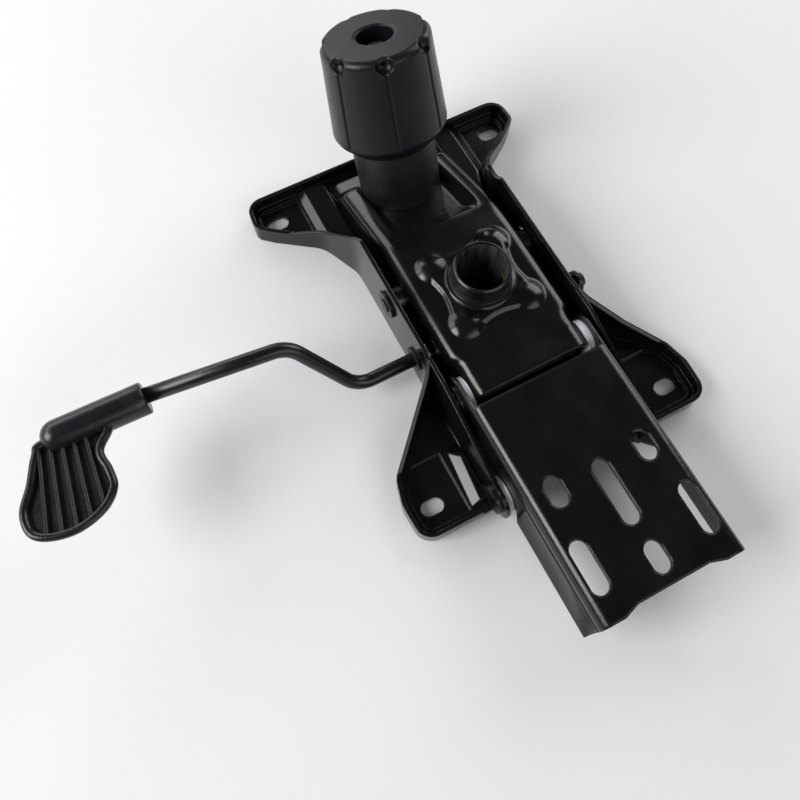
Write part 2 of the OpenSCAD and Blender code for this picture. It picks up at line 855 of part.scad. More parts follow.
module back_bracket() {
    t = bracket_sheet;
    color(steel_black)
        difference() {
            union() {
                intersection() {
                    along_y(-bracket_rear, 0)
                        difference() {
                            channel_2d(bracket_half, bracket_top, -far, bracket_edge_r);
                            channel_2d(bracket_half - t, bracket_top - t, -2 * far, bracket_edge_r - t);
                        }
                    along_x(-far, far) bracket_side_2d();
                }
                bracket_lips();
            }
            translate([t - bracket_half, -bracket_front, 0]) cube([bracket_w - 2 * t, far, far]);
            linear_extrude(far) rear_edge_2d();
            translate([0, 0, bracket_top - 2 * t])
                linear_extrude(far) bracket_slots();
            cross_hole(main_pivot, pin_d + 2 * fixed_gap);
            cross_hole(rear_pivot, pin_d + 2 * run_gap);
        }
}

module main_pivot_pin() {
    color(zinc_grey)
        along_x(-bracket_half - clip_t - pin_past_clip, bracket_half + clip_t + pin_past_clip)
            translate(main_pivot) circle(d = pin_d);
}

module main_pivot_washers() {
    color(nylon_white)
        both_sides()
            washer_x(main_pivot, housing_rear_half + side_gap, bracket_half - bracket_sheet, washer_d,
                pin_d + 2 * fixed_gap);
}

module main_pivot_clips() {
    color(zinc_grey)
        both_sides()
            washer_x(main_pivot, bracket_half, bracket_half + clip_t, pivot_clip_d, pin_d + 2 * fixed_gap);
}

// Lever: cranked rod, moulded grip and the pieces on the rod
rod_far = [rod_far_x, -rod_y, rod_z];
rod_bend_at = [-rod_bend_x, -rod_y, rod_z];

module lever_rod() {
    joint = [-waist_x - 8, -rod_y, rod_z];
    path = concat([joint + [bar_overlap, 0, 0]], bend_points(rod_far, rod_bend_at, arm_start, rod_bend_r),
        bend_points(rod_bend_at, arm_start, rod_tip, rod_bend_r), [rod_tip]);
    color(steel_black) {
        rod_between(joint, rod_far, rod_d / 2);
        swept_bar(path, rod_d / 2 - bar_step);
    }
}

// Corners of the paddle as shares of its width and reach, each with its radius as a share
paddle_shares = [
    [0.43, -0.04, 0.04],
    [-0.215, 0.04, 0.04],
    [-0.6, -0.75, 0.14],
    [-0.41, -0.97, 0.2],
    [-0.12, -1, 0.4],
    [0.38, -0.77, 0.16],
    [0.4, -0.54, 0.24],
    [0.325, -0.31, 0.1],
    [0.45, -0.18, 0.04]];
paddle_outline = [for (p = paddle_shares)
    [p.x * paddle_w, p.y * paddle_reach, p.z * min(paddle_w, paddle_reach)]];

module lever_paddle() {
    r = lever_sleeve_d / 2;
    low = lever_end.z - paddle_t / 2 - paddle_drop;
    color(plastic_black)
        difference() {
            union() {
                rod_between(grip_start, lever_end, r);
                translate(lever_end) sphere(r = r);
                translate([lever_end.x, lever_end.y, low]) {
                    linear_extrude(paddle_t) polygon(rounded(paddle_outline));
                    linear_extrude(paddle_t + rib_h)
                        difference() {
                            polygon(rounded(paddle_outline));
                            polygon(rounded(inset(paddle_outline, rim_w)));
                        }
                    linear_extrude(paddle_t + rib_h)
                        intersection() {
                            polygon(rounded(inset(paddle_outline, rim_w / 2)));
                            for (i = [0 : paddle_ribs - 1])
                                translate([rib_pitch * (i - (paddle_ribs - 1) / 2) + rib_shift, -paddle_reach / 2])
                                    rotate(-rib_lean) translate([-rib_w / 2, -far]) square([rib_w, 2 * far]);
                        }
                }
            }
            rod_between(arm_start + lever_dir * hole_start, rod_tip, rod_d / 2 + fixed_gap);
        }
}

module lift_tab() {
    color(steel_black)
        along_x(-tab_half, tab_half)
            translate(rod_axis)
                difference() {
                    union() {
                        circle(r = rod_d / 2 + tab_wall);
                        translate([0, -tab_t / 2]) square([rod_y + tab_past_axis, tab_t]);
                    }
                    circle(r = rod_d / 2 + fixed_gap);
                }
}

module lock_collar() {
    outer = -lug_in + side_gap;
    shoulder = outer + collar_flange_t;
    color(zinc_grey) {
        washer_x(rod_axis, outer, shoulder, collar_flange_d, rod_d + 2 * run_gap);
        washer_x(rod_axis, shoulder, shoulder + collar_nose_len, collar_nose_d, rod_d + 2 * run_gap);
    }
}

module rod_end_clip() {
    color(zinc_grey)
        washer_x(rod_axis, rod_far_x - end_clip_in, rod_far_x - end_clip_in + end_clip_t, end_clip_d,
            rod_d + 2 * fixed_gap);
}

seat_plate();
rod_bushes();
bolt_anchor();
rear_pivot_rivets();
rear_pivot_washers();
housing();
lift_socket();
spring_sleeve();
spring_base_washer();
tension_spring();
front_slide_pins();
slide_pin_clips();
back_bracket();
main_pivot_pin();
main_pivot_washers();
main_pivot_clips();
tension_bolt();
tension_knob();
knob_nut();
thrust_washer();
lever_rod();
lever_paddle();
lift_tab();
lock_collar();
rod_end_clip();
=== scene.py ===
import math

import bpy
from mathutils import Matrix, Vector


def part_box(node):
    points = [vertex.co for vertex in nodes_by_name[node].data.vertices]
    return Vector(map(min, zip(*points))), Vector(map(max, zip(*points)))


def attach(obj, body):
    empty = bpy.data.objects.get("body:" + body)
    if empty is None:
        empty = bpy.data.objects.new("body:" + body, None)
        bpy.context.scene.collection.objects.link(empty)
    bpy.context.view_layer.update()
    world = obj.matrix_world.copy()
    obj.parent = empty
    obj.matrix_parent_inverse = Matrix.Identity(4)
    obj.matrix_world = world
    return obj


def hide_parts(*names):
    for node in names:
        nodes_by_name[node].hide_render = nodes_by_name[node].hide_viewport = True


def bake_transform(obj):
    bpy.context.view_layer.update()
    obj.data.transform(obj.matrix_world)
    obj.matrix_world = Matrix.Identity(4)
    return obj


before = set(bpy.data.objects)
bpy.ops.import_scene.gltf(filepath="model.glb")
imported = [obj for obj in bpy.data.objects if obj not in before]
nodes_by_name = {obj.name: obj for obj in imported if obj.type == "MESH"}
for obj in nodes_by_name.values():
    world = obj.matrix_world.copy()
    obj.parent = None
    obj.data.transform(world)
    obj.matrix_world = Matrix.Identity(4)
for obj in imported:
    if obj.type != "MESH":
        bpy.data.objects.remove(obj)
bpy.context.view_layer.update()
scene = bpy.context.scene


# Material helpers
noise_low, noise_high = 0.3, 0.7
bevel_samples = 6
# Numbers of a mix node's colour sockets
mix_factor, mix_first, mix_second, mix_result = 0, 6, 7, 2


def start_material(name):
    """A new material with one shader, and the coordinates of the object that wears it."""
    mat = bpy.data.materials.new(name)
    mat.use_nodes = True
    tree = mat.node_tree
    tree.nodes.clear()
    out = tree.nodes.new("ShaderNodeOutputMaterial")
    shader = tree.nodes.new("ShaderNodeBsdfPrincipled")
    tree.links.new(shader.outputs["BSDF"], out.inputs["Surface"])
    coords = tree.nodes.new("ShaderNodeTexCoord")
    return mat, tree, shader, coords.outputs["Object"]


def noise(tree, where, scale, detail):
    """Cloudy values, most of them between noise_low and noise_high."""
    node = tree.nodes.new("ShaderNodeTexNoise")
    node.inputs["Scale"].default_value = scale
    node.inputs["Detail"].default_value = detail
    tree.links.new(where, node.inputs["Vector"])
    return node.outputs["Fac"]


def two_tone(tree, value, low, dark, high, light):
    """The dark colour where the value is low, running to the light one where it is high."""
    node = tree.nodes.new("ShaderNodeValToRGB")
    stops = ((low, dark), (high, light))
    for element, (place, colour) in zip(node.color_ramp.elements, stops):
        element.position = place
        element.color = (*colour, 1.0)
    tree.links.new(value, node.inputs["Fac"])
    return node.outputs["Color"]


def spread(tree, value, low, high):
    """A noise's usual range, stretched to run from low to high."""
    node = tree.nodes.new("ShaderNodeMapRange")
    node.inputs["From Min"].default_value = noise_low
    node.inputs["From Max"].default_value = noise_high
    node.inputs["To Min"].default_value = low
    node.inputs["To Max"].default_value = high
    tree.links.new(value, node.inputs["Value"])
    return node.outputs["Result"]


def arithmetic(tree, operation, a, b):
    """One operation on two values, each a number or the output of a node."""
    node = tree.nodes.new("ShaderNodeMath")
    node.operation = operation
    for socket, value in zip(node.inputs, (a, b)):
        if isinstance(value, (int, float)):
            socket.default_value = value
        else:
            tree.links.new(value, socket)
    return node.outputs["Value"]


def times(tree, a, b):
    return arithmetic(tree, "MULTIPLY", a, b)


def plus(tree, a, b):
    return arithmetic(tree, "ADD", a, b)


def blended(tree, a, b, share):
    """A share of a, and the rest of b."""
    return plus(tree, times(tree, a, share), times(tree, b, 1 - share))


def mix(tree, factor, a, b):
    """Colour a where the factor is 0, colour b where it is 1."""
    node = tree.nodes.new("ShaderNodeMix")
    node.data_type = "RGBA"
    tree.links.new(factor, node.inputs[mix_factor])
    tree.links.new(a, node.inputs[mix_first])
    if isinstance(b, tuple):
        node.inputs[mix_second].default_value = (*b, 1.0)
    else:
        tree.links.new(b, node.inputs[mix_second])
    return node.outputs[mix_result]


def bump(tree, shader, height, strength, distance, edge):
    """Fine relief, and edges that look rounded to the radius edge, unless it is 0."""
    relief = tree.nodes.new("ShaderNodeBump")
    relief.inputs["Strength"].default_value = strength
    relief.inputs["Distance"].default_value = distance
    tree.links.new(height, relief.inputs["Height"])
    if edge:
        rounded = tree.nodes.new("ShaderNodeBevel")
        rounded.samples = bevel_samples
        rounded.inputs["Radius"].default_value = edge
        tree.links.new(rounded.outputs["Normal"], relief.inputs["Normal"])
    tree.links.new(relief.outputs["Normal"], shader.inputs["Normal"])


# Painted steel
def coated_steel(name, dark, light, rough_low, rough_high, edge):
    mat, tree, shader, where = start_material(name)
    cloud = noise(tree, where, scale=38.0, detail=4.0)
    speck = noise(tree, where, scale=900.0, detail=2.0)
    both = blended(tree, cloud, speck, share=0.75)
    tone = two_tone(tree, both, low=0.35, dark=dark, high=0.62, light=light)
    tree.links.new(tone, shader.inputs["Base Color"])
    wear = noise(tree, where, scale=70.0, detail=3.0)
    tree.links.new(spread(tree, wear, rough_low, rough_high), shader.inputs["Roughness"])
    shader.inputs["Specular IOR Level"].default_value = 0.5
    paint_skin = noise(tree, where, scale=520.0, detail=2.0)
    bump(tree, shader, paint_skin, strength=0.10, distance=0.0004, edge=edge)
    return mat


# Moulded plastic
def grained_plastic(name, dark, light, rough_low, rough_high, grain, edge, shine):
    mat, tree, shader, where = start_material(name)
    cloud = noise(tree, where, scale=55.0, detail=3.0)
    fine = noise(tree, where, scale=grain, detail=2.0)
    both = blended(tree, cloud, fine, share=0.5)
    tone = two_tone(tree, both, low=0.35, dark=dark, high=0.65, light=light)
    tree.links.new(tone, shader.inputs["Base Color"])
    tree.links.new(spread(tree, cloud, rough_low, rough_high), shader.inputs["Roughness"])
    shader.inputs["Specular IOR Level"].default_value = shine
    bump(tree, shader, fine, strength=0.35, distance=0.0003, edge=edge)
    return mat


# Bare steel of the small fasteners and the spring
def bare_steel(name, dark, light, rough_low, rough_high):
    mat, tree, shader, where = start_material(name)
    cloud = noise(tree, where, scale=120.0, detail=4.0)
    tone = two_tone(tree, cloud, low=0.3, dark=dark, high=0.7, light=light)
    tree.links.new(tone, shader.inputs["Base Color"])
    wear = noise(tree, where, scale=300.0, detail=3.0)
    tree.links.new(spread(tree, wear, rough_low, rough_high), shader.inputs["Roughness"])
    shader.inputs["Metallic"].default_value = 1.0
    scratches = noise(tree, where, scale=700.0, detail=2.0)
    bump(tree, shader, scratches, strength=0.12, distance=0.0003, edge=0.0004)
    return mat


# White nylon of the pivot washers
def nylon(name, dark, light):
    mat, tree, shader, where = start_material(name)
    cloud = noise(tree, where, scale=160.0, detail=3.0)
    tone = two_tone(tree, cloud, low=0.3, dark=dark, high=0.7, light=light)
    tree.links.new(tone, shader.inputs["Base Color"])
    tree.links.new(spread(tree, cloud, low=0.38, high=0.52), shader.inputs["Roughness"])
    grain = noise(tree, where, scale=1200.0, detail=2.0)
    bump(tree, shader, grain, strength=0.1, distance=0.0002, edge=0.0004)
    return mat


# Lift socket: painted outside, bare drawn steel inside, with a little grease
bore_r = 0.0139
grease_side = (0.883, -0.469)
grease_reach, grease_level, grease_share = 0.0118, 0.50, 0.6
grease_low, grease_high = 0.041, 0.0505
grease_colour = (0.13, 0.16, 0.045)
streak_stretch = 0.12
socket_dark, socket_light = (0.0035, 0.0035, 0.004), (0.007, 0.007, 0.008)
bore_dark, bore_light = (0.018, 0.018, 0.019), (0.080, 0.080, 0.084)


def grease_film(tree, where, x, y, z):
    """Patches on one side of the bore, between two heights."""
    towards = plus(tree, times(tree, x, grease_side[0]), times(tree, y, grease_side[1]))
    on_side = arithmetic(tree, "GREATER_THAN", towards, grease_reach)
    cloud = noise(tree, where, scale=240.0, detail=3.0)
    patch = times(tree, arithmetic(tree, "GREATER_THAN", cloud, grease_level), on_side)
    above = arithmetic(tree, "GREATER_THAN", z, grease_low)
    below = arithmetic(tree, "LESS_THAN", z, grease_high)
    return times(tree, patch, times(tree, times(tree, above, below), grease_share))


def drawn_streaks(tree, x, y, z):
    """Bare steel with streaks that run up and down the bore."""
    stretched = tree.nodes.new("ShaderNodeCombineXYZ")
    for axis, value in (("X", x), ("Y", y), ("Z", times(tree, z, streak_stretch))):
        tree.links.new(value, stretched.inputs[axis])
    streaks = noise(tree, stretched.outputs["Vector"], scale=300.0, detail=3.0)
    return two_tone(tree, streaks, low=0.35, dark=bore_dark, high=0.75, light=bore_light)


def turning_rings(tree, where):
    """Fine rings round the socket, as a tool leaves them."""
    rings = tree.nodes.new("ShaderNodeTexWave")
    rings.bands_direction = "Z"
    rings.inputs["Scale"].default_value = 230.0
    rings.inputs["Distortion"].default_value = 0.8
    tree.links.new(where, rings.inputs["Vector"])
    return rings.outputs["Fac"]


def greased_socket(name):
    mat, tree, shader, where = start_material(name)
    cloud = noise(tree, where, scale=60.0, detail=4.0)
    coat = two_tone(tree, cloud, low=0.35, dark=socket_dark, high=0.65, light=socket_light)
    split = tree.nodes.new("ShaderNodeSeparateXYZ")
    tree.links.new(where, split.inputs["Vector"])
    x, y, z = split.outputs["X"], split.outputs["Y"], split.outputs["Z"]
    square = plus(tree, times(tree, x, x), times(tree, y, y))
    radius = arithmetic(tree, "POWER", square, 0.5)
    inner = arithmetic(tree, "LESS_THAN", radius, bore_r)
    film = times(tree, inner, grease_film(tree, where, x, y, z))
    steel = mix(tree, inner, coat, drawn_streaks(tree, x, y, z))
    tree.links.new(mix(tree, film, steel, grease_colour), shader.inputs["Base Color"])
    tree.links.new(spread(tree, cloud, low=0.16, high=0.26), shader.inputs["Roughness"])
    bump(tree, shader, turning_rings(tree, where), strength=0.35, distance=0.0003, edge=0.0006)
    return mat


# Colours of the paints, plastics and steels
coat_dark, coat_light = (0.0024, 0.0025, 0.0029), (0.0052, 0.0054, 0.0062)
plate_dark, plate_light = (0.0028, 0.0029, 0.0034), (0.0060, 0.0062, 0.0071)
rod_dark, rod_light = (0.0040, 0.0041, 0.0046), (0.0085, 0.0087, 0.0098)
knob_dark, knob_light = (0.0046, 0.0048, 0.0068), (0.0082, 0.0086, 0.0118)
sleeve_dark, sleeve_light = (0.0045, 0.0046, 0.0054), (0.0085, 0.0088, 0.0100)
paddle_dark, paddle_light = (0.0062, 0.0065, 0.0084), (0.0115, 0.0120, 0.0152)
nylon_dark, nylon_light = (0.62, 0.61, 0.67), (0.80, 0.79, 0.83)
pin_dark, pin_light = (0.035, 0.035, 0.038), (0.085, 0.085, 0.09)
zinc_dark, zinc_light = (0.36, 0.37, 0.38), (0.52, 0.53, 0.54)
wire_dark, wire_light = (0.12, 0.12, 0.13), (0.25, 0.25, 0.26)

black_coat = coated_steel("black_coat", coat_dark, coat_light, 0.15, 0.25, edge=0.0012)
plate_coat = coated_steel("plate_coat", plate_dark, plate_light, 0.14, 0.22, edge=0.0010)
bracket_coat = coated_steel("bracket_coat", coat_dark, coat_light, 0.15, 0.25, edge=0.0022)
lip_coat = coated_steel("lip_coat", coat_dark, coat_light, 0.15, 0.25, edge=0.0)
rod_coat = coated_steel("rod_coat", rod_dark, rod_light, 0.24, 0.36, edge=0.0006)
socket_coat = greased_socket("socket_coat")
knob_plastic = grained_plastic("knob_plastic", knob_dark, knob_light, 0.26, 0.38,
                               grain=1500.0, edge=0.0008, shine=0.30)
sleeve_plastic = grained_plastic("sleeve_plastic", sleeve_dark, sleeve_light, 0.36, 0.50,
                                 grain=1500.0, edge=0.0006, shine=0.5)
paddle_plastic = grained_plastic("paddle_plastic", paddle_dark, paddle_light, 0.22, 0.32,
                                 grain=1300.0, edge=0.0006, shine=0.5)
white_nylon = nylon("white_nylon", nylon_dark, nylon_light)
dark_steel = bare_steel("dark_steel", pin_dark, pin_light, 0.30, 0.46)
zinc_steel = bare_steel("zinc_steel", zinc_dark, zinc_light, 0.28, 0.42)
spring_steel = bare_steel("spring_steel", wire_dark, wire_light, 0.30, 0.45)

looks = {
    "seat_plate": plate_coat,
    "housing": black_coat,
    "lift_socket": socket_coat,
    "back_bracket": bracket_coat,
    "bolt_anchor": plate_coat,
    "lift_tab": rod_coat,
    "lever_rod": rod_coat,
    "tension_knob": knob_plastic,
    "spring_sleeve": sleeve_plastic,
    "lever_paddle": paddle_plastic,
    "rod_bushes": sleeve_plastic,
    "rear_pivot_washers": white_nylon,
    "main_pivot_washers": white_nylon,
    "rear_pivot_rivets": dark_steel,
    "front_slide_pins": dark_steel,
    "slide_pin_clips": dark_steel,
    "main_pivot_pin": dark_steel,
    "main_pivot_clips": dark_steel,
    "rod_end_clip": dark_steel,
    "tension_bolt": dark_steel,
    "knob_nut": zinc_steel,
    "thrust_washer": zinc_steel,
    "spring_base_washer": zinc_steel,
    "lock_collar": zinc_steel,
    "tension_spring": spring_steel,
}
for node_name, obj in nodes_by_name.items():
    obj.data.materials.clear()
    obj.data.materials.append(looks[node_name])


# Mesh helpers
def new_piece(name, verts, faces, mat):
    """An object made of points and faces, with one material."""
    mesh = bpy.data.meshes.new(name)
    mesh.from_pydata(verts, [], faces)
    mesh.materials.append(mat)
    obj = bpy.data.objects.new(name, mesh)
    scene.collection.objects.link(obj)
    return obj


def smooth_quads(obj):
    """Soft shading on the four-sided faces, while flat ends stay flat."""
    for poly in obj.data.polygons:
        poly.use_smooth = len(poly.vertices) == 4


def ring(centre, across, other, radius, sides):
    """Points of a circle in the plane of two directions."""
    angles = [2 * math.pi * k / sides for k in range(sides)]
    return [centre + (across * math.cos(a) + other * math.sin(a)) * radius for a in angles]


def ring_faces(rings, sides):
    """Faces between rings of points, and one face to close each end."""
    faces = []
    for i in range(rings - 1):
        a, b = i * sides, (i + 1) * sides
        for k in range(sides):
            after = (k + 1) % sides
            faces.append((a + k, a + after, b + after, b + k))
    last = (rings - 1) * sides
    faces.append(tuple(reversed(range(sides))))
    faces.append(tuple(range(last, last + sides)))
    return faces


def wreath_faces(rings, sides):
    """Faces between rings of points, of which the last one meets the first."""
    faces = []
    for i in range(rings):
        a, b = i * sides, (i + 1) % rings * sides
        for k in range(sides):
            after = (k + 1) % sides
            faces.append((a + k, b + k, b + after, a + after))
    return faces


def straight(a, b, steps):
    """Points from a towards b, without b itself."""
    return [(a[0] + (b[0] - a[0]) * k / steps, a[1] + (b[1] - a[1]) * k / steps)
            for k in range(steps)]


def quarter(centre, radius, steps):
    """Points of a quarter circle from its side to its top, without the top itself."""
    angles = [math.pi / 2 * k / steps for k in range(steps)]
    return [(centre[0] + radius * math.cos(a), centre[1] + radius * math.sin(a)) for a in angles]


def tube(name, path, radius, sides, mat):
    """A round bar along a list of points, with flat ends and an even twist."""
    last = len(path) - 1
    verts = []
    across = None
    for i, point in enumerate(path):
        tangent = (path[min(i + 1, last)] - path[max(i - 1, 0)]).normalized()
        if across is None:
            across = tangent.orthogonal()
        across = (across - tangent * across.dot(tangent)).normalized()
        verts += ring(point, across, tangent.cross(across), radius, sides)
    obj = new_piece(name, verts, ring_faces(len(path), sides), mat)
    smooth_quads(obj)
    return obj


# Lever rod: a round bar with two bends
rod_r, rod_sides = 0.00398, 40
rod_bend_r, rod_bend_steps = 0.016, 18
rod_y, rod_z = -0.014, 0.017
rod_far = Vector((0.063, rod_y, rod_z))
rod_turn = Vector((-0.081, rod_y, rod_z))
arm_start = Vector((-0.108, 0.008, 0.052))
rod_tip = Vector((-0.19675, 0.016125, 0.05575))


def bent(a, b, c):
    """Points of the rod's round bend at b, between a and c."""
    u, v = (a - b).normalized(), (c - b).normalized()
    half = u.angle(v) / 2
    centre = b + (u + v).normalized() * (rod_bend_r / math.sin(half))
    start = b + u * (rod_bend_r / math.tan(half)) - centre
    end = b + v * (rod_bend_r / math.tan(half)) - centre
    square = start.cross(end).normalized().cross(start)
    sweep = math.pi - 2 * half
    angles = [sweep * i / rod_bend_steps for i in range(rod_bend_steps + 1)]
    return [centre + start * math.cos(angle) + square * math.sin(angle) for angle in angles]


def lever_rod():
    path = [rod_far] + bent(rod_far, rod_turn, arm_start) + bent(rod_turn, arm_start, rod_tip) + [rod_tip]
    rod = tube("lever_rod_smooth", path, rod_r, rod_sides, rod_coat)
    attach(rod, "lever")
    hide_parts("lever_rod")


lever_rod()


# The leaning axis that the spring, its bolt and the knob share
lean = math.radians(19.0)
sleeve_y, sleeve_r = 0.091, 0.024
knob_axis = Vector((0, math.sin(lean), math.cos(lean)))
knob_foot = Vector((0, sleeve_y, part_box("spring_sleeve")[0][2] + sleeve_r * math.sin(lean)))
knob_side = Vector((1, 0, 0))
knob_front = knob_axis.cross(knob_side)


def on_axis(rise):
    return knob_foot + knob_axis * rise


def round_axis(radius, angle, rise):
    return on_axis(rise) + (knob_side * math.cos(angle) + knob_front * math.sin(angle)) * radius


# Tension spring in two lengths, a lower one and an upper one, split at one point of its coil
coil_turns, turn_steps, lower_steps = 6, 40, 132
coil_r, wire_r, wire_sides = 0.01625, 0.0027, 14
coil_low, coil_high = 0.00495, 0.06025


def tension_spring():
    steps = coil_turns * turn_steps
    rises = [coil_low + (coil_high - coil_low) * i / steps for i in range(steps + 1)]
    coil = [round_axis(coil_r, 2 * math.pi * i / turn_steps, rise) for i, rise in enumerate(rises)]
    lower = tube("tension_spring_lower", coil[:lower_steps + 1], wire_r, wire_sides, spring_steel)
    upper = tube("tension_spring_upper", coil[lower_steps:], wire_r, wire_sides, spring_steel)
    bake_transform(lower)
    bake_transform(upper)
    for piece in (lower, upper):
        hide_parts("tension_spring")


tension_spring()


# Tension knob: a turned body with grip grooves and round dimples at its crown
knob_turns = 476
knob_low, knob_top = 0.035, 0.0917
knob_low_r, knob_high_r = 0.0324, 0.0292
foot_wall, hem_in, hem_h, skirt_h = 0.0012, 0.001, 0.006, 0.008
neck_out, neck_drop = 0.0005, 0.012
crown_r, knob_hole_r, hole_edge, cavity_r = 0.0040, 0.0100, 0.0006, 0.0246
nut_low, nut_top, nut_r = 0.0657, 0.0748, 0.0096
web_top, bolt_gap_r = 0.0767, 0.0056
groove_count, groove_turn, groove_low = 7, math.radians(-3), 0.009
groove_half, groove_deep = 0.0012, 0.0012
dimple_r, dimple_out, dimple_low = 0.0048, 0.0004, 0.0026


def knob_outside():
    """Radius and height of points from the knob's foot up to the hole in its top."""
    foot = (cavity_r + foot_wall, knob_low)
    hem = (knob_low_r - hem_in, knob_low + hem_h)
    skirt = (knob_low_r, knob_low + skirt_h)
    neck = (knob_high_r + neck_out, knob_top - neck_drop)
    shoulder = (knob_high_r, knob_top - crown_r)
    crown_middle = (knob_high_r - crown_r, knob_top - crown_r)
    crown = (knob_high_r - crown_r, knob_top)
    hole = (knob_hole_r + hole_edge, knob_top)
    skirt_points = straight(foot, hem, steps=6) + straight(hem, skirt, steps=3)
    side_points = straight(skirt, neck, steps=24) + straight(neck, shoulder, steps=20)
    top_points = quarter(crown_middle, crown_r, steps=14) + straight(crown, hole, steps=18)
    return skirt_points + side_points + top_points


def knob_inside():
    """Radius and height of the corners from the hole down through the nut's seat to the foot."""
    return [(knob_hole_r, knob_top - hole_edge), (knob_hole_r, web_top),
            (bolt_gap_r, web_top), (bolt_gap_r, nut_top),
            (nut_r, nut_top), (nut_r, nut_low),
            (cavity_r, nut_low), (cavity_r, knob_low)]


def moulded(radius, rise, off, before, after):
    """A point of the outside, sunk into the groove or the dimple that it lies in."""
    if knob_low + groove_low < rise < knob_top - crown_r:
        radius -= groove_deep * max(0.0, 1 - abs(radius * off) / groove_half)
    place = Vector((radius * math.cos(off), radius * math.sin(off), rise))
    reach = place - Vector((knob_high_r + dimple_out, 0, knob_top - dimple_low))
    if reach.length < dimple_r:
        run = Vector((after[0] - before[0], after[1] - before[1])).normalized()
        inward = Vector((-run[1] * math.cos(off), -run[1] * math.sin(off), run[0]))
        along = reach.dot(inward)
        place += inward * (math.sqrt(along * along - reach.length_squared + dimple_r ** 2) - along)
    return place


def turned_knob():
    outside = knob_outside()
    profile = outside + knob_inside()
    count = len(profile)
    pitch = 2 * math.pi / groove_count
    verts = []
    for k in range(knob_turns):
        angle = 2 * math.pi * k / knob_turns
        nearest = groove_turn + round((angle - groove_turn) / pitch) * pitch
        for n, (radius, rise) in enumerate(profile):
            turn = angle
            if n < len(outside):
                place = moulded(radius, rise, angle - nearest, profile[max(n - 1, 0)], profile[n + 1])
                radius, rise = math.hypot(place.x, place.y), place.z
                turn = nearest + math.atan2(place.y, place.x)
            verts.append(round_axis(radius, turn, rise))
    obj = new_piece("tension_knob_turned", verts, wreath_faces(knob_turns, count), knob_plastic)
    for poly in obj.data.polygons:
        poly.use_smooth = poly.index % count < len(outside) - 1
    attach(obj, "knob")
    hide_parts("tension_knob")


turned_knob()


# Lever paddle: a grip, and a thin plate with a rolled rim and ribs. Its edge is in millimetres
paddle_low, paddle_face, paddle_high = 0.0535, 0.0562, 0.0591
paddle_edge = [(-232, 15), (-238, 9), (-244, -3), (-250.8, -14.5), (-250.6, -26), (-243, -32.6),
               (-229, -35.2), (-215, -31.3), (-206.6, -23), (-205.6, -13), (-206.4, -3), (-199, 6),
               (-206, 13)]
edge_curve_steps = 16
rim_r, rim_sides, plate_inset = 0.0021, 20, 0.00126
rib_count, rib_pitch, rib_start = 5, 0.0065, Vector((-0.0036, -0.033))
rib_lean, rib_fan = 8.5, 2.0
rib_half, rib_foot_half, rib_crown_half = 0.0009, 0.00117, 0.00045
rib_sink, rib_shoulder_drop, rib_crown_drop = 0.0005, 0.0010, 0.0005
grip_start, grip_end = Vector((-0.1799, 0.0136, 0.0548)), Vector((-0.2234, 0.0139, 0.0560))
grip_r, grip_edge = 0.0082, 0.0006
grip_sides, grip_rings, dome_rings = 48, 8, 12


def smooth_loop(points, steps):
    """A soft closed curve through the points."""
    loop = []
    count = len(points)
    for i in range(count):
        a, b, c, d = (Vector(points[(i + k) % count]) for k in (-1, 0, 1, 2))
        for k in range(steps):
            t = k / steps
            loop.append(b + (c - a) * (t / 2) + (a * 2 - b * 5 + c * 4 - d) * (t * t / 2)
                        + (b * 3 - a - c * 3 + d) * (t ** 3 / 2))
    return loop


def loop_run(loop, i):
    """The direction of the loop at one of its points."""
    return (loop[(i + 1) % len(loop)] - loop[i - 1]).normalized()


def inset(loop, depth):
    """The loop, which runs anticlockwise, moved inwards by depth."""
    moved = []
    for i, point in enumerate(loop):
        run = loop_run(loop, i)
        moved.append(point + Vector((-run[1], run[0])) * depth)
    return moved


def span(loop, base, run):
    """Where a line from base along run enters and leaves the loop."""
    found = []
    for i, b in enumerate(loop):
        a = loop[i - 1]
        edge = b - a
        cross = run[0] * edge[1] - run[1] * edge[0]
        if cross:
            gap = a - base
            along = (gap[0] * edge[1] - gap[1] * edge[0]) / cross
            share = (gap[0] * run[1] - gap[1] * run[0]) / cross
            if 0 <= share < 1:
                found.append(along)
    return min(found), max(found)


def paddle_rim(middle):
    """A round bar along the plate's edge."""
    verts = []
    for i, point in enumerate(middle):
        run = loop_run(middle, i)
        centre = Vector((*point, paddle_high - rim_r))
        verts += ring(centre, Vector((run[1], -run[0], 0)), Vector((0, 0, 1)), rim_r, rim_sides)
    faces = wreath_faces(len(middle), rim_sides)
    obj = new_piece("lever_paddle_rim", verts, faces, paddle_plastic)
    smooth_quads(obj)
    return obj


def paddle_plate(loop):
    edge = inset(loop, plate_inset)
    verts = [Vector((*point, z)) for z in (paddle_low, paddle_face) for point in edge]
    obj = new_piece("lever_paddle_plate", verts, ring_faces(2, len(edge)), paddle_plastic)
    smooth_quads(obj)
    return obj


def paddle_rib(number, middle):
    """One rib across the plate, from rim to rim. The ribs fan out a little."""
    from_middle = number - (rib_count + 1) / 2
    angle = math.radians(rib_lean - rib_fan * from_middle)
    run = Vector((math.sin(angle), math.cos(angle)))
    across = Vector((run[1], -run[0]))
    base = grip_end.xy + rib_start + Vector((rib_pitch * from_middle, 0))
    half_section = [(rib_foot_half, paddle_face - rib_sink), (rib_half, paddle_high - rib_shoulder_drop),
                    (rib_crown_half, paddle_high - rib_crown_drop)]
    section = [(-half, z) for half, z in half_section] + half_section[::-1]
    verts = [Vector((*(base + run * along + across * side), z))
             for along in span(middle, base, run) for side, z in section]
    faces = ring_faces(2, len(section))
    return new_piece(f"lever_paddle_rib_{number}", verts, faces, paddle_plastic)


